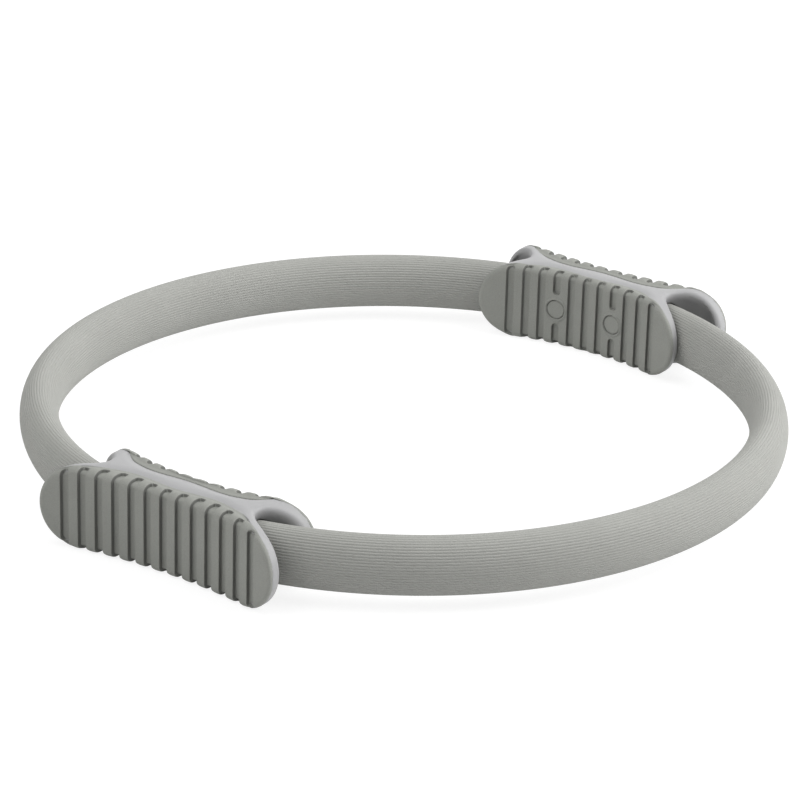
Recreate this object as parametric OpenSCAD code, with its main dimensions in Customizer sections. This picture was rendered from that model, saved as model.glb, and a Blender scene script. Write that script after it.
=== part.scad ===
// Pilates ring lying flat, with its centre over the origin and the handles on the X axis.
// Two half hoops of fibreglass strips in foam sleeves join two handles. A handle is two
// hard shells, screwed together over the strip ends, with a ribbed rubber grip on each side.

/* [Ring] */
// Outside diameter over the foam sleeves
ring_d = 380; // [340:5:420]
// Width of the oval tube, across the ring
tube_w = 19.2; // [17:0.2:21]
// Height of the oval tube
tube_h = 29; // [25:0.5:33]
// How far a sleeve end goes into the socket of a handle
socket_depth = 6; // [3:0.5:8]

/* [Spring core] */
// Thickness of one fibreglass strip
strip_t = 1.8; // [1.2:0.1:2]
// Height of the strips
strip_h = 16; // [12:0.5:18]
// Gap between strips that lie on each other
strip_gap = 0.2; // [0.1:0.05:0.3]
// Gap between the front and the back strips in the middle of a handle
strip_end_gap = 6; // [2:0.5:12]

/* [Handle] */
// Overall height of a handle
handle_h = 42; // [38:0.5:46]
// Length of the outer paddle
outer_l = 136.5; // [130:0.5:146]
// Length of the inner paddle
inner_l = 122.5; // [117:0.5:130]
// Thickness of a paddle with its grip, where it leaves the waist
paddle_t = 6.6; // [6.2:0.1:7.6]
// Gap between the sleeve and the back of the inner paddle
paddle_gap = 0.8; // [0.5:0.1:2]
// Bow radius of the outer paddle, whose ends flare outwards
outer_bow_r = 279; // [240:1:340]
// Bow radius of the back of the outer paddle, which is flatter, so that the ends are thicker
outer_back_bow_r = 420; // [320:10:600]
// Length of the solid waist between the two hollows
waist_l = 88; // [84:1:94]
// Depth of the outer shell behind the outer face, at the middle
outer_shell_depth = 7.2; // [6.8:0.1:8]
// Rounding of a hollow where it starts at the waist
hollow_r = 5.5; // [4:0.5:8]
// How much the hollow opens beyond its rounding
hollow_flare = 0.32; // [0.1:0.02:0.6]

/* [Grips] */
// Thickness of the rubber on a paddle face
grip_t = 2.5; // [2.2:0.1:3.2]
// Thickness of the level part of a rubber lip, on the top and bottom edges
lip_t = 3; // [2.6:0.1:3.4]
// How far the level part of a lip stands proud of the shell
lip_proud = 1.7; // [1.4:0.1:2]
// Width of the level part of a lip, next to the rounded edge
lip_level_w = 2.5; // [1:0.5:3]
// How much a lip falls from its level part to its back edge
lip_slope = 0.5; // [0:0.1:1.2]
// Rounding of the grip's long edges
edge_r = 3.6; // [3.2:0.2:4.2]
// Depth of the lip of the outer grip, from the face
outer_lip = 10; // [9:0.5:12]
// Depth of the lip of the inner grip, from the face
inner_lip = 7.5; // [7:0.5:9]
// Height of the wave in the edge of the lips
lip_wave = 1.3; // [0:0.1:2]

/* [Ribs] */
// Distance from groove to groove on the outer grip
outer_pitch = 9.1; // [8.6:0.1:9.6]
// Distance from groove to groove on the inner grip
inner_pitch = 8.85; // [8.6:0.05:9.2]
// Grooves on each side of the middle one, on the outer grip
outer_side_grooves = 6; // [4:1:6]
// Grooves on each side of the middle one, on the inner grip
inner_side_grooves = 5; // [3:1:5]
// Width of a groove
groove_w = 4; // [3:0.5:5]
// Depth of a groove
groove_depth = 1.6; // [0.5:0.1:1.8]
// Width of the lip that is left beyond the end of a groove
groove_margin = 2.3; // [2:0.1:4]

/* [Screws and caps] */
// Thread diameter of a screw
screw_d = 4; // [3:0.5:4.5]
// Diameter of a screw head
screw_head_d = 7.4; // [6.5:0.1:8]
// Height of a screw head
screw_head_h = 2.6; // [2:0.1:3]
// Plastic between a screw head and the strips
seat_wall = 4.5; // [3:0.5:5.5]
// Outside diameter of a brass insert
insert_d = 5.6; // [5.5:0.1:7]
// Length of a brass insert
insert_l = 3; // [2.6:0.1:4]
// Plastic between the end of an insert and the outer grip
insert_cover = 0.7; // [0.6:0.1:2]
// Diameter of a screw cap
cap_d = 10; // [9.4:0.1:11]
// Length of the stem that holds a cap in the screw hole
cap_stem_l = 3; // [2:0.5:3.5]
// Width of the raised lip round a cap
collar_w = 1; // [0.6:0.1:1.2]
// Height of the raised lip round a cap
collar_h = 0.5; // [0.2:0.1:0.8]

/* [Fits] */
// Gap between a grip or insert and the plastic it is fixed to
bond_gap = 0.1; // [0.05:0.05:0.15]
// Gap round the strips in the handles and sleeves
strip_clearance = 0.3; // [0.2:0.05:0.4]
// Gap round a sleeve end in its socket
sleeve_clearance = 0.4; // [0.3:0.05:0.6]
// Gap round a screw, its head and a cap stem, on each side
screw_clearance = 0.2; // [0.1:0.05:0.3]

/* [Hidden] */
$fn = 96;
// Steps in a full turn of the large bows
bow_fn = 720;

foam_grey = [0.62, 0.63, 0.6];
rubber_grey = [0.47, 0.48, 0.46];
shell_grey = [0.77, 0.77, 0.77];
fibreglass = [0.78, 0.76, 0.6];

mid_z = handle_h / 2;
ring_r = (ring_d - tube_w) / 2;
// The inner paddle is concentric with the ring and lies close along the sleeve
inner_face_r = ring_r - tube_w / 2 - paddle_gap - paddle_t;
shell_h = handle_h - 2 * lip_proud;

core_t = 3 * strip_t + 2 * strip_gap;
channel_r0 = ring_r - core_t / 2 - strip_clearance;
channel_r1 = ring_r + core_t / 2 + strip_clearance;
channel_h = strip_h + 2 * strip_clearance;
sleeve_end_y = waist_l / 2 - socket_depth;
sleeve_end_angle = asin(sleeve_end_y / ring_r);
socket_end_angle = asin((sleeve_end_y - sleeve_clearance) / ring_r);
strip_end_angle = asin(strip_end_gap / 2 / ring_r);
cut_angle = 40;

// The screws stand on the second groove of the inner grip, on each side of the middle
screw_groove = 2;
screw_y = screw_groove * inner_pitch;
channel_in_x = sqrt(channel_r0 * channel_r0 - screw_y * screw_y);
channel_out_x = sqrt(channel_r1 * channel_r1 - screw_y * screw_y);
screw_seat_x = channel_in_x - seat_wall;
insert_x0 = channel_out_x + strip_clearance;
insert_x1 = insert_x0 + insert_l;
// The outer paddle covers the ends of the inserts, at the place of the screws
bow_rise = outer_bow_r - sqrt(outer_bow_r * outer_bow_r - screw_y * screw_y);
outer_face_x = insert_x1 + bond_gap + insert_cover + bond_gap + grip_t - bow_rise;
outer_axis_x = outer_face_x + outer_bow_r;
parting_x = outer_face_x - outer_shell_depth;
bore_d = screw_d + 2 * screw_clearance;
counterbore_d = screw_head_d + 2 * screw_clearance;
collar_d = cap_d + 2 * bond_gap + 2 * collar_w;
lip_wave_l = 50;
lip_runout = 29;
lip_fall = 0.03;
lip_least = 0.4;
groove_stop_gap = 2.2;
screw_tip_gap = 0.5;
hollow_steps = 20;
end_steps = 12;
edge_steps = 6;
lip_steps = 36;
oval_steps = 48;
spare = 5;
far = 60;

// Flat hoop between two radii, swept over an angle about the ring's own axis
module hoop(r0, r1, height, from_angle, to_angle) {
    translate([0, 0, mid_z - height / 2])
        rotate([0, 0, from_angle])
            rotate_extrude(angle = to_angle - from_angle)
                translate([r0, 0]) square([r1 - r0, height]);
}

// Oval tube on the ring's centreline, grown on all sides by a gap
module oval_tube(grow, from_angle, to_angle) {
    a = tube_w / 2 + grow;
    b = tube_h / 2 + grow;
    rotate([0, 0, from_angle])
        rotate_extrude(angle = to_angle - from_angle)
            polygon([for (i = [1:oval_steps]) let (t = i * 360 / oval_steps)
                [ring_r + a * cos(t), mid_z + b * sin(t)]]);
}

// One foam sleeve, on the back half of the ring
module sleeve() {
    color(foam_grey)
    difference() {
        oval_tube(0, sleeve_end_angle, 180 - sleeve_end_angle);
        hoop(channel_r0, channel_r1, channel_h, 0, 180);
    }
}

// One strip of the core on the back half, with a screw hole at each end
module strip(layer) {
    r = ring_r + layer * (strip_t + strip_gap);
    color(fibreglass)
    difference() {
        hoop(r - strip_t / 2, r + strip_t / 2, strip_h, strip_end_angle, 180 - strip_end_angle);
        translate([-ring_d, screw_y, mid_z])
            rotate([0, 90, 0]) cylinder(d = bore_d, h = 2 * ring_d);
    }
}

// Outline of a paddle seen from the front, with half elliptical ends, as a prism along X
module paddle_prism(half_l, half_h, end_a, x0, x1) {
    c = half_l - end_a;
    angles = [for (i = [0:2 * end_steps]) -90 + i * 90 / end_steps];
    right = [for (a = angles) [c + end_a * cos(a), half_h * sin(a)]];
    left = [for (a = angles) [-c - end_a * cos(a), -half_h * sin(a)]];
    translate([x0, 0, mid_z])
        rotate([90, 0, 90])
            linear_extrude(x1 - x0) polygon(concat(right, left));
}

// Depth of a lip's edge behind the face at distance y from the middle: a wave, which runs
// out to the face where the paddle's end rounds down
function lip_depth(y, lip, half_l) =
    let (run = max(0, abs(y) - (half_l - lip_runout)))
    max(grip_t + lip_least, lip - lip_wave * cos(y * 360 / lip_wave_l) - run * run * lip_fall);

// Region in front of a lip's edge, seen from above, for a face whose bow is centred on the
// Z axis with radius r0
module lip_region(r0, lip, half_l, grow) {
    end_y = half_l + spare;
    ys = [for (i = [-lip_steps:lip_steps]) i * end_y / lip_steps];
    edge = [for (y = ys) [sqrt(r0 * r0 - y * y) + lip_depth(y, lip, half_l) + grow, y]];
    back = [[r0 - far, end_y], [r0 - far, -end_y]];
    translate([0, 0, -far / 2]) linear_extrude(handle_h + far) polygon(concat(edge, back));
}

// Outer line of a grip's section, set in by an inset: the back edge of the bottom lip, its
// level part, a rounded edge up to the face, and the same at the top. Depth 0 is the face.
function skin_line(r0, depth, inset) =
    let (e = edge_r - inset, level = r0 + edge_r + lip_level_w)
    let (arc = [for (i = [0:edge_steps]) i * 90 / edge_steps])
    concat(
        [[r0 + depth, inset + lip_slope], [level, inset]],
        [for (a = arc) [r0 + edge_r - e * sin(a), edge_r - e * cos(a)]],
        [for (a = arc) [r0 + edge_r - e * cos(a), handle_h - edge_r + e * sin(a)]],
        [[level, handle_h - inset], [r0 + depth, handle_h - inset - lip_slope]]
    );

// Half of the angle that a bowed piece of a given half length needs, with some to spare
function bow_angle(r0, half_l) = asin((half_l + spare) / r0);

// Skin of a grip on a bow round the Z axis: a channel of rubber, trimmed to the outline of
// its paddle and to the wavy edge of its lips
module grip_skin(r0, lip, half_l) {
    angle = bow_angle(r0, half_l);
    depth = lip + lip_wave;
    wall = [[r0 + depth, handle_h - lip_t], [r0 + grip_t, handle_h - lip_t],
            [r0 + grip_t, lip_t], [r0 + depth, lip_t]];
    intersection() {
        rotate([0, 0, -angle])
            rotate_extrude(angle = 2 * angle, $fn = bow_fn)
                polygon(concat(skin_line(r0, depth, 0), wall));
        lip_region(r0, lip, half_l, 0);
        paddle_prism(half_l, mid_z, mid_z, r0 - far, r0 + far);
    }
}

// What lies under the floor of a grip's grooves
module groove_bed(r0, lip, half_l) {
    angle = bow_angle(r0, half_l);
    rotate([0, 0, -angle])
        rotate_extrude(angle = 2 * angle, $fn = bow_fn)
            polygon(skin_line(r0, lip + lip_wave + spare, groove_depth));
}

// Slot of one groove, seen from above: open towards the face, with a round end on the lip
module groove_slot(r0, y, lip, half_l) {
    run = max(grip_t, lip_depth(y, lip, half_l) - groove_margin);
    end_x = sqrt(r0 * r0 - y * y) + run - groove_w / 2;
    translate([0, 0, -far / 2]) {
        translate([r0 - far, y - groove_w / 2, 0])
            cube([end_x - r0 + far, groove_w, handle_h + far]);
        translate([end_x, y, 0]) cylinder(d = groove_w, h = handle_h + far);
    }
}

// Block round a cap that a groove stops short of, with the groove's rounded ends left out
module groove_break(r0, y) {
    reach = collar_d / 2 + groove_stop_gap + groove_w / 2;
    translate([r0 - far, y, mid_z]) rotate([0, 90, 0])
        difference() {
            translate([-reach, -groove_w, 0]) cube([2 * reach, 2 * groove_w, 2 * far]);
            for (s = [-1, 1])
                translate([s * reach, 0, -1]) cylinder(d = groove_w, h = 2 * far + 2);
        }
}

// Space that a grip takes out of a shell: all in front of its wall and under its lips
module grip_pocket(r0, lip, half_l) {
    wall_r = r0 + grip_t + bond_gap;
    z0 = lip_t + bond_gap;
    difference() {
        lip_region(r0, lip, half_l, bond_gap);
        translate([0, 0, z0])
            difference() {
                cylinder(r = wall_r + far, h = handle_h - 2 * z0, $fn = bow_fn);
                translate([0, 0, -1]) cylinder(r = wall_r, h = handle_h + 2, $fn = bow_fn);
            }
    }
}

// Puts a piece that is bowed round the Z axis on the outside of the right handle
module on_outer_bow() {
    translate([outer_axis_x, 0, 0]) rotate([0, 0, 180]) children();
}

// The outer grip's lip reaches past the parting, so both shells make room for it
module outer_grip_pocket() {
    on_outer_bow() grip_pocket(outer_bow_r, outer_lip, outer_l / 2);
}

// One hollow at the back end of the right handle, open at the top and bottom. It starts as a
// round notch in the waist and opens until it meets the backs of the two paddles.
module hollow() {
    start_y = waist_l / 2;
    length = outer_l / 2 + spare - start_y;
    inner_back_r = inner_face_r + paddle_t;
    in_x = sqrt(pow(inner_back_r, 2) - pow(start_y, 2));
    out_x = outer_axis_x - sqrt(pow(outer_bow_r + paddle_t, 2) - pow(start_y, 2));
    back_axis_x = out_x + sqrt(pow(outer_back_bow_r, 2) - pow(start_y, 2));
    mid_x = (in_x + out_x) / 2;
    steps = [for (i = [0:hollow_steps]) length * pow(i / hollow_steps, 2)];
    widths = [for (s = steps) sqrt(2 * hollow_r * s + hollow_flare * s * s)];
    outer = [for (i = [0:hollow_steps]) [mid_x + widths[i], start_y + steps[i]]];
    inner = [for (i = [hollow_steps:-1:1]) [mid_x - widths[i], start_y + steps[i]]];
    difference() {
        translate([0, 0, -1]) linear_extrude(handle_h + 2) polygon(concat(outer, inner));
        translate([0, 0, -2]) cylinder(r = inner_back_r, h = handle_h + 4, $fn = bow_fn);
        translate([back_axis_x, 0, -2])
            cylinder(r = outer_back_bow_r, h = handle_h + 4, $fn = bow_fn);
    }
}

// Everything that both shells leave open: hollows, sockets, the channel and the screw holes
module shell_openings() {
    for (s = [0, 1]) mirror([0, s, 0]) {
        hollow();
        oval_tube(sleeve_clearance, socket_end_angle, cut_angle);
        translate([0, screw_y, mid_z]) rotate([0, 90, 0]) {
            translate([0, 0, screw_seat_x - 1]) cylinder(d = bore_d, h = insert_x0 - screw_seat_x + 2);
            translate([0, 0, inner_face_r - far])
                cylinder(d = counterbore_d, h = screw_seat_x - inner_face_r + far);
            translate([0, 0, channel_out_x - 2])
                cylinder(d = insert_d + 2 * bond_gap, h = insert_x1 + bond_gap - channel_out_x + 2);
        }
    }
    hoop(channel_r0, channel_r1, channel_h, -cut_angle, cut_angle);
}

// Outer shell of the right handle: the outer paddle, up to the parting plane
module outer_shell() {
    color(shell_grey)
    difference() {
        paddle_prism(outer_l / 2, shell_h / 2, shell_h / 2, parting_x, parting_x + far / 2);
        outer_grip_pocket();
        shell_openings();
    }
}

// Inner shell of the right handle: the inner paddle and the waist, up to the parting plane
module inner_shell() {
    color(shell_grey)
    difference() {
        paddle_prism(inner_l / 2, shell_h / 2, shell_h / 2, parting_x - far, parting_x - bond_gap);
        grip_pocket(inner_face_r, inner_lip, inner_l / 2);
        outer_grip_pocket();
        shell_openings();
    }
}

// Ribbed grip on the outside of the right handle
module outer_grip() {
    r0 = outer_bow_r;
    skin_l = outer_l / 2;
    color(rubber_grey)
    on_outer_bow()
        difference() {
            grip_skin(r0, outer_lip, skin_l);
            difference() {
                for (i = [-outer_side_grooves:outer_side_grooves])
                    groove_slot(r0, i * outer_pitch, outer_lip, skin_l);
                groove_bed(r0, outer_lip, skin_l);
            }
        }
}

// Ribbed grip on the inside of the right handle, with its two cap holes
module inner_grip() {
    r0 = inner_face_r;
    skin_l = inner_l / 2;
    color(rubber_grey)
    difference() {
        union() {
            difference() {
                grip_skin(r0, inner_lip, skin_l);
                difference() {
                    for (i = [-inner_side_grooves:inner_side_grooves])
                        groove_slot(r0, i * inner_pitch, inner_lip, skin_l);
                    groove_bed(r0, inner_lip, skin_l);
                    for (s = [-1, 1]) groove_break(r0, s * screw_y);
                }
            }
            for (s = [-1, 1]) collar(s * screw_y);
        }
        for (s = [-1, 1])
            translate([r0 - far, s * screw_y, mid_z]) rotate([0, 90, 0])
                cylinder(d = cap_d + 2 * bond_gap, h = 2 * far);
    }
}

// Raised lip round a cap, on the face of the inner grip
module collar(y) {
    intersection() {
        translate([inner_face_r - far, y, mid_z]) rotate([0, 90, 0])
            cylinder(d = collar_d, h = far + 1);
        difference() {
            cylinder(r = inner_face_r + 1, h = handle_h, $fn = bow_fn);
            translate([0, 0, -1])
                cylinder(r = inner_face_r - collar_h, h = handle_h + 2, $fn = bow_fn);
        }
    }
}

// Screw of the right handle, back side
module screw() {
    color("silver")
    translate([0, screw_y, mid_z]) rotate([0, 90, 0]) {
        head_x = screw_seat_x - screw_head_h;
        translate([0, 0, head_x]) cylinder(d = screw_head_d, h = screw_head_h);
        translate([0, 0, head_x]) cylinder(d = screw_d, h = insert_x1 - screw_tip_gap - head_x);
    }
}

// Threaded brass insert of the right handle, back side
module insert() {
    color("goldenrod")
    translate([insert_x0, screw_y, mid_z]) rotate([0, 90, 0])
        difference() {
            cylinder(d = insert_d, h = insert_l);
            translate([0, 0, -1]) cylinder(d = bore_d, h = insert_l + 2);
        }
}

// Rubber cap over the screw of the right handle, back side, flush with the grip face
module cap() {
    wall_x = sqrt(pow(inner_face_r + grip_t + bond_gap, 2) - pow(screw_y + cap_d / 2, 2));
    color(rubber_grey)
    difference() {
        translate([0, screw_y, mid_z]) rotate([0, 90, 0]) {
            translate([0, 0, inner_face_r - spare])
                cylinder(d = cap_d, h = wall_x - bond_gap - inner_face_r + spare);
            translate([0, 0, inner_face_r - spare])
                cylinder(d = screw_head_d, h = wall_x + cap_stem_l - inner_face_r + spare);
        }
        translate([0, 0, -1]) cylinder(r = inner_face_r, h = handle_h + 2, $fn = bow_fn);
    }
}

// Puts a piece of the right handle on the left, or a piece of the back half on the front
module turned() {
    rotate([0, 0, 180]) children();
}

// Puts a back piece of the right handle on its front side
module to_front() {
    mirror([0, 1, 0]) children();
}

turned() sleeve();  // front_sleeve
sleeve();  // back_sleeve
turned() strip(-1);  // front_inner_strip
turned() strip(0);  // front_middle_strip
turned() strip(1);  // front_outer_strip
strip(-1);  // back_inner_strip
strip(0);  // back_middle_strip
strip(1);  // back_outer_strip

turned() outer_shell();  // left_outer_shell
turned() inner_shell();  // left_inner_shell
turned() outer_grip();  // left_outer_grip
turned() inner_grip();  // left_inner_grip
turned() screw();  // left_front_screw
turned() to_front() screw();  // left_back_screw
turned() insert();  // left_front_insert
turned() to_front() insert();  // left_back_insert
turned() cap();  // left_front_cap
turned() to_front() cap();  // left_back_cap

outer_shell();  // right_outer_shell
inner_shell();  // right_inner_shell
outer_grip();  // right_outer_grip
inner_grip();  // right_inner_grip
to_front() screw();  // right_front_screw
screw();  // right_back_screw
to_front() insert();  // right_front_insert
insert();  // right_back_insert
to_front() cap();  // right_front_cap
cap();  // right_back_cap
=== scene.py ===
"""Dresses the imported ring: ribbed foam sleeves on a strip core, and two moulded handles
with ribbed rubber grips. All lengths in this file are in millimetres, apart from those
that say metres. A handle is worked out for the right side, with x away from the middle
of the ring, y along the handle and z up from the handle's middle."""
from types import SimpleNamespace

import bmesh
import bpy
import numpy as np
from mathutils import Matrix


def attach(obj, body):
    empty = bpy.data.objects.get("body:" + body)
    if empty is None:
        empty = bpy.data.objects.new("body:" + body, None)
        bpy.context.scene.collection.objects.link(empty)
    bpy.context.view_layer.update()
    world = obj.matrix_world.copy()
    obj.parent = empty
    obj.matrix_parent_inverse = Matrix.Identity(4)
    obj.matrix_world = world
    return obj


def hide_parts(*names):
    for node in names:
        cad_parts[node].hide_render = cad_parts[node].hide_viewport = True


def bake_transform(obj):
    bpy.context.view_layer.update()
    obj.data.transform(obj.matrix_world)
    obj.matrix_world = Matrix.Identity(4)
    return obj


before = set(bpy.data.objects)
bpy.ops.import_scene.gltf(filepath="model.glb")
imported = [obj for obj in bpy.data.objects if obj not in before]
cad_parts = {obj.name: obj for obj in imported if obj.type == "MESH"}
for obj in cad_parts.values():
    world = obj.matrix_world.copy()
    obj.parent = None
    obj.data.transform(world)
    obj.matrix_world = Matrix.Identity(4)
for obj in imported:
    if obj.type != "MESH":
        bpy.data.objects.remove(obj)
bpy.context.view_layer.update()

MM = 0.001
# in metres: points this close are made one, and edges this short are dissolved
SAME_POINT, NO_EDGE = 1e-7, 1e-8
# the left handle is the right one turned half round
TURN = {"left": -1, "right": 1}

# Ring: its middle line, the foam's oval and fine ribs, and the flat strips in it
MID_Z = 21.0
RING_R = 180.4
RING_STEPS, OVAL_STEPS = 161, 2881
TUBE_W, TUBE_H = 19.2, 29.0
SLEEVE_END_Y, SLEEVE_END_SIZE = 38.0, 0.97
FOAM_RIBS, RIB_POINTS, RIB_DEPTH, RIB_POWER = 56, 8, 0.27, 1.4
STRIP_T, STRIP_GAP, STRIP_H, STRIP_CUT, STRIP_END_Y = 1.8, 0.2, 16.0, 0.2, 3.0

# Hard body: its two bowed faces, the level of its top under the rubber and its crown
OUTER_X, BOW_R = 188.88, 279.0
BOW_X = OUTER_X + BOW_R
INNER_R = 163.4
FACE_INSET = 1.5
OUTER_HALF, INNER_HALF = 68.25, 61.25
INNER_TO_OUTER_X = (171, 181)
LIP_PROUD, END_PROUD, PROUD_TURNS = 1.35, 0.25, (34.0, 50.0)
CROWN, CROWN_W = 0.9, 5.0
POCKET_OVERLAP, WALL_OVERLAP = 0.6, 0.2
# how far behind the outline the painted shade of the hollows starts and is full
SHADE_DEPTH = (0.8, 5.5)
SKIN_LOW, SKIN_HIGH, SKIN_CELL = (148, -71, -21), (200, 71, 21), 0.6

# Hollow at each end of the body, recess in the backs of the paddles, socket of a sleeve
PADDLE_T = 6.6
NOTCH_X, NOTCH_Y, NOTCH_R, NOTCH_FLARE = 174.7, 44.0, 5.5, 0.32
NOTCH_ROUND, NOTCH_EDGE = 4.0, 2.6
BACK_BOW_R = 420.0
BACK_BOW_X = (BOW_X - np.sqrt((BOW_R + PADDLE_T)**2 - NOTCH_Y**2)
              + np.sqrt(BACK_BOW_R**2 - NOTCH_Y**2))
RIM_W, RECESS, RECESS_INSET, RECESS_ROUND, RECESS_EDGE = 2.8, 2.8, 1.0, 2.0, 1.2
SOCKET_GAP = 0.4

# Grips: walls, rounded edges and lips
GRIP_T, LIP_T = 2.5, 3.0
EDGE_DEEP, EDGE_HIGH = 4.2, 3.6
END_EDGE_DEEP, END_EDGE_HIGH = 2.0, 2.6
EDGE_TURNS, EDGE_SHARE = (0.1, 0.85), 0.6
END_REACH, END_FALL = 0.9 * GRIP_T, 0.3
TIP_R, TIP_SHARE = 0.5, 0.2
INNER_SHARE, INNER_CORNER = 0.3, 0.2
LIP_WAVE, LIP_WAVE_L, LIP_RUNOUT, LIP_FALL, LIP_LEAST = 1.3, 50.0, 29.0, 0.03, 0.4
LIP_EDGE_W, LIP_EDGE_DROP = 1.2, 0.25
STRIP_DROP, STRIP_SLOPE, DROP_TURNS, DROP_ROUND = 0.8, 2.0, (3.2, 6.0), 0.3
EDGE_STEPS, LIP_STEPS, TIP_STEPS = 15, 34, 4

# Grooves of the grips, the sections of the mesh close to their walls, and their painted shade
GROOVE_W, GROOVE_DEPTH, GROOVE_SOFT, GROOVE_MARGIN = 4.0, 1.95, 0.14, 3.2
LEAST_GROOVE = 1.6
SHOULDER_W, SHOULDER_DEPTH, LIP_SHOULDER = 1.6, 0.1, 0.55
WALL_SHADE_W, WALL_SHADE_PEAK = 0.16, 1.5
SECTION_STEP, END_SECTIONS = 0.5, 48
WALL_REACH, WALL_SECTIONS, WALL_CLEAR = 0.36, 9, 0.55
OUTER_GRIP = {"half": OUTER_HALF, "lip": 10.0, "pitch": 9.1, "grooves": 6}
INNER_GRIP = {"half": INNER_HALF, "lip": 7.5, "pitch": 8.85, "grooves": 5}

# Screw caps, their seats and collars, and how far the grooves stop short of them
CAP_R, CAP_Y, CAP_GROOVE = 5.0, 17.7, 2
SEAT_DEPTH, SEAT_EDGE = 1.4, 0.4
COLLAR_R, COLLAR_H, COLLAR_EDGE = 6.3, 0.7, (0.3, -0.2)
GROOVE_STOP = 8.3
CAP_STEPS = 64
# share of CAP_R and depth below the face, from the middle of the top to that of the stem
CAP_PROFILE = (
    (0, 0.14), (0.48, 0.12), (0.82, 0.04), (0.9, 0.03), (0.96, 0.08), (0.99, 0.22),
    (1, 0.45), (1, 2.3), (0.74, 2.4), (0.74, 5.4), (0, 5.5),
)

# Finishes: roughness and range of the noise, and how far it moves a surface's roughness
NOISE_ROUGHNESS, NOISE_RANGE, ROUGHNESS_DRIFT = 0.6, (0.25, 0.75), 0.06

# Camera: distance in metres, turn round the ring, height and roll in degrees, focal length
# and image centre in pixels of a frame 800 wide, sensor, and how far it sees in metres
DISTANCE, AZIMUTH, ELEVATION, ROLL = 1.7757, 215.2, 22.833, 1.507
FOCAL, CENTRE_X, CENTRE_Y, FRAME_W = 3576.7, 404.4, 409.6, 800.0
SENSOR_W, SIGHT = 36, 100

# Lamps: name, turn from the camera's side of the ring and height in degrees, power in
# watts. Seen from above a turn goes anticlockwise, so 90 is to the right of the image.
LAMP_FAR, LAMP_SIZE = 2.4, 2.0
ACROSS = (0, 1, 0.001)
LAMPS = (
    ("right_low", 90, 20, 42.0),
    ("right_high", 90, 55, 26.0),
    ("left_high", 290, 50, 26.0),
    ("behind", 180, 20, 15.0),
    ("top", 0, 88, 10.0),
)
WORLD_LIGHT = 0.23

# Floor: half its width in metres, its plain tone, the share of the real light that the
# camera sees on it, and the level of that light at which the floor is pure white
FLOOR_HALF, FLOOR_TONE, FLOOR_SHARE, FLOOR_LEVEL = 40, 0.8, 0.25, 0.62


def smooth_step(low, high, value):
    """An S curve of value, from 0 at low to 1 at high."""
    share = np.clip((value - low) / (high - low), 0, 1)
    return share * share * (3 - 2 * share)


def round_max(a, b, width):
    """The larger of a and b, with the corner where they meet rounded over width."""
    near = np.maximum(width - np.abs(a - b), 0) / width
    return np.maximum(a, b) + near * near * width / 4


def outer_face(y):
    """x of the outer face: a circle of radius BOW_R whose centre lies outside the ring."""
    return BOW_X - np.sqrt(BOW_R**2 - y * y)


def inner_face(y):
    """x of the inner face: a circle of radius INNER_R round the middle of the ring."""
    return np.sqrt(INNER_R**2 - y * y)


def lip_depth(y, half, lip):
    """How far a grip's lip reaches behind the face at y: a wave of LIP_WAVE round the depth
    lip, which falls off with the square of the distance past LIP_RUNOUT from the end."""
    past = np.maximum(0, np.abs(y) - (half - LIP_RUNOUT))
    wave = lip - LIP_WAVE * np.cos(2 * np.pi * y / LIP_WAVE_L) - LIP_FALL * past**2
    return np.maximum(GRIP_T + LIP_LEAST, wave)


# Meshes from arrays

def grid_quads(rows, columns):
    """Quads between the neighbours of a grid of points whose rows are closed loops."""
    row = np.arange(rows - 1)[:, None] * columns
    here = np.arange(columns)[None, :]
    beside = (here + 1) % columns
    corners = [row + here, row + columns + here, row + columns + beside, row + beside]
    return np.stack(corners, -1).reshape(-1, 4)


def make_piece(name, points, quads, painted_shade=None, smooth=True):
    """Mesh of points in millimetres and quads, with its faces turned outwards: the signed
    volume under the faces is positive. Points that coincide, as at a pole, are made one.
    The last argument, from 0 to 1 a point, is painted shade that darkens the piece's material
    there."""
    corner = np.moveaxis(points[quads] - points.mean(0), 1, 0)
    volume = np.einsum("ij,ij->", corner[0], np.cross(corner[1], corner[2]))
    volume += np.einsum("ij,ij->", corner[0], np.cross(corner[2], corner[3]))
    if volume < 0:
        quads = quads[:, ::-1]
    mesh = bpy.data.meshes.new(name)
    mesh.vertices.add(len(points))
    mesh.vertices.foreach_set("co", (points * MM).astype(np.float32).ravel())
    mesh.loops.add(quads.size)
    mesh.loops.foreach_set("vertex_index", quads.astype(np.int32).ravel())
    mesh.polygons.add(len(quads))
    mesh.polygons.foreach_set("loop_start", np.arange(0, quads.size, 4, dtype=np.int32))
    mesh.update(calc_edges=True)
    if painted_shade is not None:
        shaded = mesh.attributes.new("shaded", "FLOAT", "POINT")
        shaded.data.foreach_set("value", painted_shade.astype(np.float32).ravel())
    work = bmesh.new()
    work.from_mesh(mesh)
    bmesh.ops.remove_doubles(work, verts=work.verts, dist=SAME_POINT)
    bmesh.ops.dissolve_degenerate(work, dist=NO_EDGE, edges=work.edges)
    work.to_mesh(mesh)
    work.free()
    mesh.polygons.foreach_set("use_smooth", np.full(len(mesh.polygons), smooth))
    piece = bpy.data.objects.new(name, mesh)
    bpy.context.scene.collection.objects.link(piece)
    return piece


def dress(piece, material, body=None, replaces=()):
    """Gives a piece its material and slot, hides the CAD nodes that it stands for, and
    makes it ride on its body. With no body its place is baked into its mesh."""
    piece.data.materials.append(material)
    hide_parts(*replaces)
    if body:
        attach(piece, body)
    else:
        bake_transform(piece)
    return piece


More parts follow.
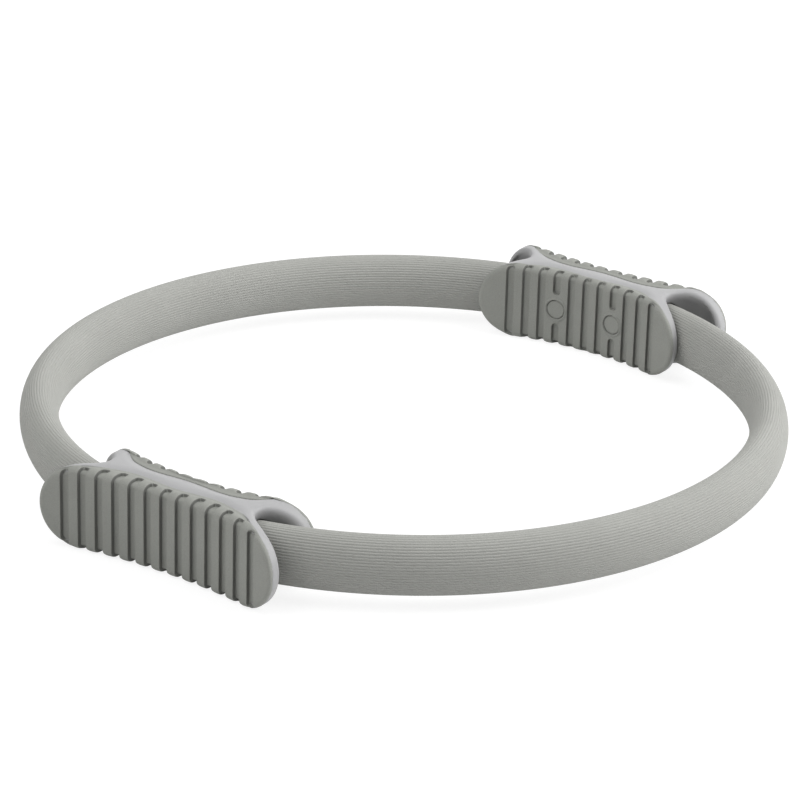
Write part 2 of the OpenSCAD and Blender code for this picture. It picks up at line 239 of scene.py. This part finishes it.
def skin_of(field, low, high, cell):
    """Points and quads of the surface where field is zero, in a box of cubic cells. Each
    cell that the surface passes through gets one point, the mean of the crossings on its
    edges, which then moves along the field's slope onto the surface. Each edge that the
    surface crosses gets one quad, through the points of the four cells round it."""
    axes = [np.arange(start, end + cell, cell) for start, end in zip(low, high)]
    value = field(*np.meshgrid(*axes, indexing="ij", sparse=True))
    shape = np.array(value.shape) - 1

    def flat(cells):
        return (cells[:, 0] * shape[1] + cells[:, 1]) * shape[2] + cells[:, 2]

    total = np.zeros((shape.prod(), 3))
    count = np.zeros(shape.prod())
    rings = []
    for axis in range(3):
        near = np.take(value, np.arange(shape[axis]), axis)
        beyond = np.take(value, np.arange(1, shape[axis] + 1), axis)
        edge = np.argwhere((near < 0) != (beyond < 0))
        first, second = near[tuple(edge.T)], beyond[tuple(edge.T)]
        step, u, v = np.roll(np.eye(3, dtype=int), -axis, axis=0)
        crossing = edge + step * (first / (first - second))[:, None]
        round_edge = [flat(edge - du * u - dv * v)
                      for du, dv in ((0, 0), (1, 0), (1, 1), (0, 1))]
        for cells in round_edge:
            count += np.bincount(cells, minlength=len(count))
            for k in range(3):
                total[:, k] += np.bincount(cells, crossing[:, k], minlength=len(count))
        ring = np.stack(round_edge, 1)
        rings.append(np.where((first < second)[:, None], ring, ring[:, ::-1]))
    used = np.flatnonzero(count)
    number = np.zeros(len(count), int)
    number[used] = np.arange(len(used))
    points = total[used] / count[used, None] * cell + np.array(low)
    reach, flattest = 0.05, 0.5
    for _ in range(3):
        here = field(*points.T)
        slope = [field(*(points + move).T) - field(*(points - move).T)
                 for move in np.eye(3) * reach]
        slope = np.stack(slope, 1) / (2 * reach)
        steep = np.maximum((slope**2).sum(1), flattest**2)
        off = here[:, None] * slope / steep[:, None]
        points = points - np.clip(off, -cell / 2, cell / 2)
    return points, number[np.concatenate(rings)]


# Sleeves and strips

def carried_round(name, section, end_y, back, smooth):
    """A closed section, given as (across, up) points, carried round half of the ring
    from end_y beside one handle to end_y beside the other. Both ends are closed: the
    section shrinks there to the centreline."""
    end = np.arcsin(end_y / RING_R)
    angle = np.linspace(end, np.pi - end, RING_STEPS)
    angle = np.concatenate([angle[:1], angle[:1], angle, angle[-1:], angle[-1:]])
    size = np.ones(len(angle))
    size[[0, -1]] = 0
    size[[1, -2]] = SLEEVE_END_SIZE
    radius = RING_R + size[:, None] * section[None, :, 0]
    z = MID_Z + size[:, None] * section[None, :, 1]
    points = np.stack([radius * np.cos(angle)[:, None], radius * np.sin(angle)[:, None], z], -1)
    points[..., :2] *= 1 if back else -1
    return make_piece(name, points.reshape(-1, 3), grid_quads(*z.shape), smooth=smooth)


def foam_section():
    """Oval of the foam tube with FOAM_RIBS fine ribs, evenly spaced along its outline. The
    surface dips between ribs by a power of one minus the size of a sine, so that the ribs
    are round and the valleys narrow."""
    angle = np.linspace(0, 2 * np.pi, OVAL_STEPS)
    run = np.hypot(TUBE_W / 2 * np.sin(angle), TUBE_H / 2 * np.cos(angle)).cumsum()
    share = np.arange(FOAM_RIBS * RIB_POINTS) / (FOAM_RIBS * RIB_POINTS)
    angle = np.interp(share, (run - run[0]) / (run[-1] - run[0]), angle)
    dip = RIB_DEPTH * (1 - np.abs(np.sin(np.pi * FOAM_RIBS * share))) ** RIB_POWER
    return np.stack([(TUBE_W / 2 - dip) * np.cos(angle), (TUBE_H / 2 - dip) * np.sin(angle)], 1)


def strip_section(layer):
    """Flat section of one strip of the core, with its corners cut off a little."""
    across = np.array([1, 1, 1, -1, -1, -1, -1, 1]) * STRIP_T / 2
    up = np.array([-1, 1, 1, 1, 1, -1, -1, -1]) * STRIP_H / 2
    across[[2, 3, 6, 7]] -= np.sign(across[[2, 3, 6, 7]]) * STRIP_CUT
    up[[0, 1, 4, 5]] -= np.sign(up[[0, 1, 4, 5]]) * STRIP_CUT
    return np.stack([across + layer * (STRIP_T + STRIP_GAP), up], 1)


# Grips

def places_along(half, pitch, grooves):
    """Places of the sections along a grip, from end to end: evenly spaced in the middle,
    crowded towards the tips of the round ends as a sine, and close together at each wall
    of a groove."""
    start = half - MID_Z
    even = np.linspace(-start, start, 2 * int(start / SECTION_STEP) + 1)
    ends = start + MID_Z * np.sin(np.linspace(0, np.pi / 2, END_SECTIONS)[1:])
    even = np.concatenate([-ends[::-1], even, ends])
    walls = np.add.outer(np.arange(-grooves, grooves + 1) * pitch,
                         np.array([-0.5, 0.5]) * GROOVE_W).ravel()
    near = np.abs(even[:, None] - walls[None, :]).min(1)
    close = np.add.outer(walls, np.linspace(-WALL_REACH, WALL_REACH, WALL_SECTIONS)).ravel()
    return np.sort(np.concatenate([even[near > WALL_CLEAR], close]))


def grip_sizes(y, half, lip):
    """Sizes of a grip's section at each y: how far it lies past the start of the round end
    (past), half its height, the rounded edge's height and depth (high and deep) and the
    part of that height that fits in it (bend), how far the lip reaches back (reach), and
    the radius of the lip's back edge (tip)."""
    past = np.maximum(np.abs(y) - (half - MID_Z), 0)
    height = np.sqrt(np.maximum(MID_Z**2 - past**2, 0))
    to_end = smooth_step(*EDGE_TURNS, past / MID_Z)
    high = EDGE_HIGH + (END_EDGE_HIGH - EDGE_HIGH) * to_end
    reach = lip_depth(y, half, lip)
    return SimpleNamespace(
        past=past, height=height, high=high,
        deep=EDGE_DEEP + (END_EDGE_DEEP - EDGE_DEEP) * to_end,
        bend=np.minimum(high, EDGE_SHARE * height),
        reach=END_REACH + (reach - END_REACH) * smooth_step(0, END_FALL, height / MID_Z),
        tip=np.minimum(TIP_R, TIP_SHARE * height),
    )


def face_and_edge(y, at, steps):
    """Points of each section from the middle of the face to the end of its rounded edge:
    their height z and depth behind the face, the part of their normal that points out of
    the face, and the directions in y and z of the normal's other part."""
    share = np.linspace(0, 1, steps)[None, :]
    angle = np.linspace(0, np.pi / 2, EDGE_STEPS)[None, 1:]
    z = np.concatenate([(at.height - at.bend) * share,
                        at.height - at.bend + at.bend * np.sin(angle)], 1)
    from_axis = np.maximum(np.hypot(at.past, z), 1e-9)
    inside = np.where(at.past > 0, MID_Z - from_axis, MID_Z - z)
    lean = np.arcsin(np.clip((at.high - inside) / at.high, 0, 1))
    turn = at.high * np.cos(lean)
    turn = turn / np.hypot(turn, at.deep * np.sin(lean))
    out_y = np.sign(y) * at.past / from_axis
    out_z = np.where(at.past > 0, z / from_axis, 1)
    return z, at.deep * (1 - np.cos(lean)), turn, out_y, out_z


def lip_depths(at):
    """Depths of the points of each section along its lip, and how far the lip's surface
    drops there: to a lower strip behind the grooves, and a little more at the back edge."""
    share = np.linspace(0, 1, LIP_STEPS)[None, 1:]
    depth = at.deep + (at.reach - at.tip - at.deep) * share
    edge_w = np.minimum(LIP_EDGE_W, EDGE_SHARE * np.maximum(at.reach - at.deep, 0.01))
    strip_from = at.reach - GROOVE_MARGIN - STRIP_SLOPE
    fall = np.clip((depth - at.reach + edge_w) / edge_w, 0, 1)
    wide = smooth_step(*DROP_TURNS, at.reach)
    drop = wide * STRIP_DROP * smooth_step(strip_from, at.reach - edge_w, depth)
    return depth, drop + wide * LIP_EDGE_DROP * (1 - np.sqrt(1 - fall**2))


def groove_distance(y, depth, along, reach, pitch, grooves, capped):
    """How far a point lies outside the nearest groove. A groove is the set of points
    within half its width of a line across the face that ends on both lips, so it has
    round ends. With screw caps the line of their grooves stops short of the cap."""
    distance = np.full(depth.shape, np.inf)
    for number in range(-grooves, grooves + 1):
        middle = number * pitch
        nearest = np.abs(y[:, 0] - middle).argmin()
        end = np.maximum(LEAST_GROOVE, reach[nearest, 0] - GROOVE_MARGIN)
        end = np.interp(end, depth[nearest], along[nearest]) - GROOVE_W / 2
        beyond = np.maximum(along - end, 0)
        if capped and abs(number) == CAP_GROOVE:
            beyond = beyond + np.maximum(GROOVE_STOP + GROOVE_W / 2 - along, 0)
        distance = np.minimum(distance, np.hypot(y - middle, beyond) - GROOVE_W / 2)
    return distance


def groove_sink(groove, level):
    """How far the surface sinks at a distance from a groove: by a shallow shoulder beside
    it, deeper where the surface lies level on a lip, and by GROOVE_DEPTH in it."""
    shoulder = np.clip(1 - groove / SHOULDER_W, 0, 1)**2
    shoulder = shoulder * (SHOULDER_DEPTH + (LIP_SHOULDER - SHOULDER_DEPTH) * level**2)
    cut = smooth_step(GROOVE_SOFT, -GROOVE_SOFT, groove)
    return shoulder + (GROOVE_DEPTH - shoulder) * cut


def cap_seat(from_cap):
    """How far the face sinks in a cap's seat, and how far it rises in the collar round it,
    at a distance from the cap's middle."""
    edge = CAP_R + SEAT_EDGE
    outside = [COLLAR_R + step for step in COLLAR_EDGE]
    seat = SEAT_DEPTH * smooth_step(edge, CAP_R, from_cap)
    collar = COLLAR_H * smooth_step(CAP_R, edge, from_cap) * smooth_step(*outside, from_cap)
    return seat, collar


def closed(upper, lower):
    """Values of the upper half of each section, from the front to the back, followed by
    those of the lower half on the way to the front, without the two points that both
    halves share."""
    return np.concatenate([upper, lower[:, -2:0:-1]], 1)


def grip_surface(half, lip, pitch, grooves, face, inwards, face_steps, caps=()):
    """Closed skin of a rubber grip on a grid, with the painted shade of its points. One parameter
    runs along the handle and the other round the grip's section, which is a channel: a
    flat face, a rounded edge and a lip over the top and the bottom, with a wall of even
    thickness behind. Seen from the front the grip has half round ends. Its face bends back
    towards this outline along a quarter of an ellipse. Grooves, cap seats and collars move
    the outer wall along its own normal. The painted shade is one in the seats and at the
    walls of the grooves, where shade falls."""
    y = places_along(half, pitch, grooves)[:, None]
    at = grip_sizes(y, half, lip)
    z, depth, turn, out_y, out_z = face_and_edge(y, at, face_steps)
    lip_x, lip_drop = lip_depths(at)
    on_lip = 0 * lip_x
    drop = np.concatenate([0 * depth, lip_drop], 1)
    z = np.concatenate([z, at.height + on_lip], 1)
    depth = np.concatenate([depth, lip_x], 1)
    turn = np.concatenate([turn, on_lip], 1)
    out_y = np.concatenate([out_y, out_y[:, -1:] + on_lip], 1)
    out_z = np.concatenate([out_z, out_z[:, -1:] + on_lip], 1)
    step = np.hypot(np.diff(depth, axis=1), np.diff(z, axis=1))
    along = np.concatenate([0 * y, np.cumsum(step, 1)], 1)

    groove = groove_distance(y, depth, along, at.reach, pitch, grooves, bool(caps))
    level = np.sqrt(np.maximum(1 - turn**2, 0))
    sink = round_max(groove_sink(groove, level), drop, DROP_ROUND)
    # painted shade at the walls of the grooves
    painted_shade = np.clip(WALL_SHADE_PEAK - np.abs(groove) / WALL_SHADE_W, 0, 1)
    # the cap seats get painted shade as well
    for cap_y in caps:
        seat, collar = cap_seat(np.hypot(y - cap_y, z))
        sink = sink + (seat - collar) * (turn == 1)
        painted_shade = painted_shade + seat * (turn == 1)
    front_y = y - sink * level * out_y
    z = z - sink * level * out_z
    depth = depth + sink * turn

    # the back edge of the lip and the wall behind it
    angle = np.linspace(0, np.pi / 2, TIP_STEPS)[None, 1:]
    inner_z = np.maximum(at.height - LIP_T, INNER_SHARE * at.height)
    wall = np.minimum(GRIP_T, at.reach)
    down = np.array([[0.75, 0.5, 0.25, 0]])
    behind = [
        (at.reach - at.tip + at.tip * np.sin(angle),
         z[:, -1:] - at.tip * (1 - np.cos(angle))),
        (at.reach, inner_z),
        (wall + INNER_CORNER, inner_z),
        (wall, inner_z - INNER_CORNER * np.minimum(at.height, 1)),
        (wall + 0 * down, inner_z * down),
    ]
    behind_depth, behind_z = zip(*behind)
    depth = np.concatenate([depth, *behind_depth], 1)
    z = np.concatenate([z, *behind_z], 1)
    rest = np.zeros((len(y), z.shape[1] - front_y.shape[1]))
    y = np.concatenate([front_y, front_y[:, :1] + rest], 1)
    painted_shade = np.concatenate([np.clip(painted_shade, 0, 1), rest], 1)

    depth, y, z, painted_shade = closed(depth, depth), closed(y, y), closed(z, -z), closed(painted_shade, painted_shade)
    points = np.stack([face(y) + inwards * depth, y, z + MID_Z], -1)
    return points.reshape(-1, 3), grid_quads(*z.shape), painted_shade


def cap_surface(y_middle):
    """Screw cap: a profile of radius and depth turned round the screw's axis, a shallow
    dish with a rounded edge on a short stem, laid on the bow of the inner face."""
    radius, depth = np.array(CAP_PROFILE).T[:, :, None]
    angle = np.linspace(0, 2 * np.pi, CAP_STEPS + 1)[:-1][None, :]
    y = y_middle + CAP_R * radius * np.cos(angle)
    z = MID_Z + CAP_R * radius * np.sin(angle)
    x = inner_face(y) + depth
    return np.stack([x, y, z], -1).reshape(-1, 3), grid_quads(*z.shape)


# Handle body

def depth_behind_faces(x, y):
    """How far a point lies behind the outer face and behind the inner face."""
    return np.hypot(x - BOW_X, y) - BOW_R, np.hypot(x, y) - INNER_R


def outside_outline(x, y, z):
    """How far a point lies outside the hard body's outline, seen from the front. It has
    half round ends. Its top is crowned between the two lips, and rises at the flared ends
    until it is nearly level with the rubber."""
    far_y = np.abs(y)
    depths = depth_behind_faces(x, y)
    behind = np.minimum(*[depth - lip_depth(y, grip["half"], grip["lip"])
                          for depth, grip in zip(depths, (OUTER_GRIP, INNER_GRIP))])
    crown = CROWN * (1 - (1 - np.clip(behind / CROWN_W, 0, 1))**2)
    at_end = smooth_step(*PROUD_TURNS, far_y)
    high = MID_Z - LIP_PROUD + crown * (1 - at_end) + (LIP_PROUD - END_PROUD) * at_end
    half = INNER_HALF + (OUTER_HALF - INNER_HALF) * smooth_step(*INNER_TO_OUTER_X, x)
    return np.hypot(np.maximum(far_y - half + high, 0), z) - high


def body_field(x, y, z):
    """Below zero inside a handle's hard body. It is the room between the two bowed faces,
    within the outline. From it are taken the pockets of the two grips, the hollow at each
    end, the recess in the back of each paddle and the two sockets of the sleeves. A hollow
    is bounded by the backs of the paddles, and by a curve whose half width is the root of
    2 r s + f s s, where s is the distance past NOTCH_Y, r is NOTCH_R and f is NOTCH_FLARE.
    z is measured from the middle."""
    far_y, far_z = np.abs(y), np.abs(z)
    outer_in, inner_in = depth_behind_faces(x, y)
    outline = outside_outline(x, y, z)
    solid = np.maximum(outline, FACE_INSET - np.minimum(outer_in, inner_in))

    for depth, grip in ((outer_in, OUTER_GRIP), (inner_in, INNER_GRIP)):
        pocket = depth - lip_depth(y, grip["half"], grip["lip"]) + POCKET_OVERLAP
        wall = np.minimum(MID_Z - LIP_T - far_z, depth - GRIP_T + WALL_OVERLAP)
        solid = np.maximum(solid, -np.maximum(pocket, wall))

    past, across = far_y - NOTCH_Y, x - NOTCH_X
    curve = across**2 - 2 * NOTCH_R * past - NOTCH_FLARE * past * past * np.sign(past)
    curve = curve / np.hypot(2 * across, 2 * NOTCH_R + 2 * NOTCH_FLARE * np.abs(past))
    backs = np.maximum(BACK_BOW_R - np.hypot(x - BACK_BOW_X, y), PADDLE_T - inner_in)
    hollow = round_max(curve, backs, NOTCH_ROUND)
    solid = round_max(solid, -hollow, NOTCH_EDGE)
    recess = round_max(curve + RECESS_INSET, backs - RECESS, RECESS_ROUND)
    recess = round_max(recess, outline + RIM_W, RECESS_ROUND)
    solid = round_max(solid, -recess, RECESS_EDGE)

    half_w, half_h = TUBE_W / 2 + SOCKET_GAP, TUBE_H / 2 + SOCKET_GAP
    tube = (np.hypot((np.hypot(x, y) - RING_R) / half_w, z / half_h) - 1) * half_w
    socket = np.maximum(tube, SLEEVE_END_Y - SOCKET_GAP - far_y)
    return np.maximum(solid, -socket)


def body_surface():
    """Skin of a hard body with the painted shade of its points, which rises with the depth
    behind the body's outline, so that its hollows are darkened by painted shade."""
    points, quads = skin_of(body_field, SKIN_LOW, SKIN_HIGH, SKIN_CELL)
    # painted shade, deeper behind the outline in the hollows
    painted_shade = smooth_step(*SHADE_DEPTH, -outside_outline(*points.T))
    points[:, 2] += MID_Z
    return points, quads, painted_shade


# Finishes

def finish(name, colour, roughness, mottle, grain, grain_depth, metallic=0.0, shade=0.0):
    """Moulded finish: a base colour that drifts a little over centimetres and is speckled
    at the size of the grain, with the grain also as bump and in the roughness. Sizes are
    in metres. mottle is (size of the drift, amount of drift, amount of speckle). shade is
    how much the colour darkens, as painted shade, where the mesh's "shaded" attribute is one."""
    material = bpy.data.materials.new(name)
    material.use_nodes = True
    nodes, links = material.node_tree.nodes, material.node_tree.links
    shader = nodes["Principled BSDF"]
    shader.inputs["Metallic"].default_value = metallic
    place = nodes.new("ShaderNodeTexCoord")

    def noise(size, detail):
        node = nodes.new("ShaderNodeTexNoise")
        node.inputs["Scale"].default_value = 1 / size
        node.inputs["Detail"].default_value = detail
        node.inputs["Roughness"].default_value = NOISE_ROUGHNESS
        links.new(place.outputs["Object"], node.inputs["Vector"])
        return node.outputs["Fac"]

    def spread(source, middle, amount):
        node = nodes.new("ShaderNodeMapRange")
        node.inputs["From Min"].default_value, node.inputs["From Max"].default_value = NOISE_RANGE
        node.inputs["To Min"].default_value = middle - amount
        node.inputs["To Max"].default_value = middle + amount
        links.new(source, node.inputs["Value"])
        return node.outputs["Result"]

    def times(a, b):
        node = nodes.new("ShaderNodeMath")
        node.operation = "MULTIPLY"
        links.new(a, node.inputs[0])
        links.new(b, node.inputs[1])
        return node.outputs[0]

    size, drift, speckle = mottle
    fine = noise(grain, 3)
    wide = noise(size, 2)
    tone = times(spread(wide, 1, drift), spread(fine, 1, speckle))
    # painted shade: the colour darkens where the mesh's "shaded" attribute is one
    if shade:
        painted_shade = nodes.new("ShaderNodeAttribute")
        painted_shade.attribute_name = "shaded"
        dim = nodes.new("ShaderNodeMath")
        dim.operation = "MULTIPLY_ADD"
        dim.inputs[1].default_value = -shade
        dim.inputs[2].default_value = 1.0
        links.new(painted_shade.outputs["Fac"], dim.inputs[0])
        tone = times(tone, dim.outputs[0])
    tint = nodes.new("ShaderNodeVectorMath")
    tint.operation = "SCALE"
    tint.inputs[0].default_value = colour
    links.new(tone, tint.inputs["Scale"])
    links.new(tint.outputs["Vector"], shader.inputs["Base Color"])
    links.new(spread(fine, roughness, ROUGHNESS_DRIFT), shader.inputs["Roughness"])
    bump = nodes.new("ShaderNodeBump")
    bump.inputs["Strength"].default_value = 1.0
    bump.inputs["Distance"].default_value = grain_depth
    links.new(fine, bump.inputs["Height"])
    links.new(bump.outputs["Normal"], shader.inputs["Normal"])
    return material


foam = finish("ribbed_foam", colour=(0.373, 0.376, 0.354), roughness=0.85,
              mottle=(0.03, 0.03, 0.07), grain=0.0006, grain_depth=0.00007)
# the rubber's colour darkens by half at the groove walls and in the cap seats: painted shade
rubber = finish("grip_rubber", colour=(0.302, 0.308, 0.284), roughness=0.72,
                mottle=(0.02, 0.03, 0.12), grain=0.0005, grain_depth=0.0001, shade=0.5)
# the plastic's colour darkens by up to 0.62 deep in the hollows: painted shade
plastic = finish("handle_plastic", colour=(0.4, 0.4, 0.405), roughness=0.5,
                 mottle=(0.03, 0.02, 0.05), grain=0.0004, grain_depth=0.00005, shade=0.62)
laminate = finish("strip_laminate", colour=(0.6, 0.57, 0.38), roughness=0.35,
                  mottle=(0.01, 0.08, 0.1), grain=0.0008, grain_depth=0.00003)
steel = finish("screw_steel", colour=(0.6, 0.61, 0.62), roughness=0.35,
               mottle=(0.004, 0.05, 0.05), grain=0.0003, grain_depth=0.00002, metallic=1.0)
brass = finish("insert_brass", colour=(0.78, 0.6, 0.3), roughness=0.3,
               mottle=(0.004, 0.05, 0.05), grain=0.0003, grain_depth=0.00002, metallic=1.0)


# Pieces

def make_half_ring(side, outline):
    """The foam sleeve of one half of the ring, and the three strips inside it."""
    back = side == "back"
    sleeve = carried_round(side + "_foam", outline, SLEEVE_END_Y, back, smooth=True)
    dress(sleeve, foam, replaces=[side + "_sleeve"])
    for layer, place in enumerate(("inner", "middle", "outer")):
        node = f"{side}_{place}_strip"
        section = strip_section(layer - 1)
        strip = carried_round(node + "_bar", section, STRIP_END_Y, back, smooth=False)
        dress(strip, laminate, replaces=[node])


def make_handle(hand, turn, shapes):
    """The hard body, grips and screw caps of one handle, and the finish of its screws and
    inserts, which are the CAD's own. The left handle is the right one turned half round."""
    body = hand + "_handle"
    for kind, (shape, material, slot, nodes) in shapes.items():
        points, quads, painted_shade = shape
        piece = make_piece(f"{hand}_{kind}", points * (turn, turn, 1), quads, painted_shade)
        dress(piece, material, body, [f"{hand}_{node}" for node in nodes])
    for place, y in (("front", -CAP_Y), ("back", CAP_Y)):
        points, quads = cap_surface(y * turn)
        cap = make_piece(f"{hand}_{place}_screw_cap", points * (turn, turn, 1), quads)
        dress(cap, rubber, body, [f"{hand}_{place}_cap"])
        for kind, material in (("screw", steel), ("insert", brass)):
            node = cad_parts[f"{hand}_{place}_{kind}"]
            node.material_slots[0].link = "OBJECT"
            node.material_slots[0].material = material


# Floor, light and camera

def floor_material():
    """White floor. The camera sees mostly an even white, with a part of the real light on
    it, so that the object's shadow stays; all other rays see a plain pale floor."""
    material = bpy.data.materials.new("white_floor")
    material.use_nodes = True
    nodes, links = material.node_tree.nodes, material.node_tree.links
    nodes.clear()
    path = nodes.new("ShaderNodeLightPath")
    more = nodes.new("ShaderNodeMath")
    more.operation = "MAXIMUM"
    links.new(path.outputs["Is Camera Ray"], more.inputs[0])
    links.new(path.outputs["Is Glossy Ray"], more.inputs[1])
    seen = nodes.new("ShaderNodeMath")
    seen.operation = "MAXIMUM"
    seen.use_clamp = True
    links.new(more.outputs[0], seen.inputs[0])
    links.new(path.outputs["Is Transmission Ray"], seen.inputs[1])
    plain = nodes.new("ShaderNodeBsdfDiffuse")
    plain.inputs["Color"].default_value = (FLOOR_TONE, FLOOR_TONE, FLOOR_TONE, 1)
    faint = nodes.new("ShaderNodeBsdfDiffuse")
    faint.inputs["Color"].default_value = (FLOOR_SHARE, FLOOR_SHARE, FLOOR_SHARE, 1)
    white = nodes.new("ShaderNodeEmission")
    white.inputs["Strength"].default_value = 1 - FLOOR_SHARE * FLOOR_LEVEL
    add = nodes.new("ShaderNodeAddShader")
    mix = nodes.new("ShaderNodeMixShader")
    out = nodes.new("ShaderNodeOutputMaterial")
    links.new(faint.outputs[0], add.inputs[0])
    links.new(white.outputs[0], add.inputs[1])
    links.new(seen.outputs[0], mix.inputs["Fac"])
    links.new(plain.outputs[0], mix.inputs[1])
    links.new(add.outputs[0], mix.inputs[2])
    links.new(mix.outputs[0], out.inputs["Surface"])
    return material


def lay_floor():
    """One wide square at the height of the ring's lowest points."""
    corners = [(x * FLOOR_HALF, y * FLOOR_HALF, 0) for x, y in ((-1, -1), (1, -1), (1, 1), (-1, 1))]
    mesh = bpy.data.meshes.new("floor")
    mesh.from_pydata(corners, [], [(0, 1, 2, 3)])
    mesh.materials.append(floor_material())
    floor = bpy.data.objects.new("floor", mesh)
    bpy.context.scene.collection.objects.link(floor)


def studio_world():
    """Even soft light all round, which the camera sees as white."""
    world = bpy.data.worlds.new("studio")
    world.use_nodes = True
    nodes, links = world.node_tree.nodes, world.node_tree.links
    nodes.clear()
    path = nodes.new("ShaderNodeLightPath")
    lit = nodes.new("ShaderNodeBackground")
    lit.inputs["Strength"].default_value = WORLD_LIGHT
    white = nodes.new("ShaderNodeBackground")
    white.inputs["Strength"].default_value = 1.0
    mix = nodes.new("ShaderNodeMixShader")
    out = nodes.new("ShaderNodeOutputWorld")
    links.new(path.outputs["Is Camera Ray"], mix.inputs["Fac"])
    links.new(lit.outputs[0], mix.inputs[1])
    links.new(white.outputs[0], mix.inputs[2])
    links.new(mix.outputs[0], out.inputs["Surface"])
    bpy.context.scene.world = world


def outwards(azimuth, elevation):
    """Unit vector from the middle of the ring to a turn and a height, both in degrees."""
    turn, rise = np.radians([azimuth, elevation])
    flat = np.cos(rise)
    return np.array([np.cos(turn) * flat, np.sin(turn) * flat, np.sin(rise)])


def stand(data, name, place, right, up, away):
    """An object of data at place in metres, with its own axes along the last three."""
    thing = bpy.data.objects.new(name, data)
    axes = np.column_stack([right, up, away])
    thing.matrix_world = Matrix.Translation(place) @ Matrix(axes.tolist()).to_4x4()
    bpy.context.scene.collection.objects.link(thing)
    return thing


def soft_box(name, turn, height, power):
    """Square lamp, LAMP_SIZE metres wide and LAMP_FAR metres from the ring, which it faces.
    It stands at a turn round the ring and a height above the floor, both in degrees, with
    one pair of its sides at right angles to ACROSS, a line that no lamp shines along."""
    data = bpy.data.lights.new(name, "AREA")
    data.shape = "SQUARE"
    data.size = LAMP_SIZE
    data.energy = power
    away = outwards(turn, height)
    side = np.cross(ACROSS, away)
    side /= np.linalg.norm(side)
    stand(data, name, away * LAMP_FAR, side, np.cross(away, side), away)


def place_camera():
    """Camera at DISTANCE from the middle of the ring, looking at it, with its axes turned by
    ROLL about the line of sight. The image centre is moved by a small lens shift."""
    data = bpy.data.cameras.new("camera")
    data.sensor_width = SENSOR_W
    data.lens = FOCAL * SENSOR_W / FRAME_W
    data.shift_x = 0.5 - CENTRE_X / FRAME_W
    data.shift_y = CENTRE_Y / FRAME_W - 0.5
    data.clip_end = SIGHT
    turn, roll = np.radians([AZIMUTH, ROLL])
    away = outwards(AZIMUTH, ELEVATION)
    level = np.array([-np.sin(turn), np.cos(turn), 0])
    upright = np.cross(away, level)
    right = level * np.cos(roll) + upright * np.sin(roll)
    up = upright * np.cos(roll) - level * np.sin(roll)
    place = away * DISTANCE + (0, 0, MID_Z * MM)
    bpy.context.scene.camera = stand(data, "camera", place, right, up, away)


# The whole scene

foam_outline = foam_section()
for side in ("front", "back"):
    make_half_ring(side, foam_outline)

outer_tread = grip_surface(**OUTER_GRIP, face=outer_face, inwards=-1, face_steps=18)
inner_tread = grip_surface(**INNER_GRIP, face=inner_face, inwards=1, face_steps=44,
                           caps=(-CAP_Y, CAP_Y))
handle_shapes = {
    "body": (body_surface(), plastic, "shell", ["outer_shell", "inner_shell"]),
    "outer_tread": (outer_tread, rubber, "grip", ["outer_grip"]),
    "inner_tread": (inner_tread, rubber, "grip", ["inner_grip"]),
}
for hand, turn in TURN.items():
    make_handle(hand, turn, handle_shapes)

lay_floor()
studio_world()
for name, turn, height, power in LAMPS:
    soft_box(name, AZIMUTH + turn, height, power)
place_camera()
bpy.context.scene.view_settings.view_transform = "Standard"
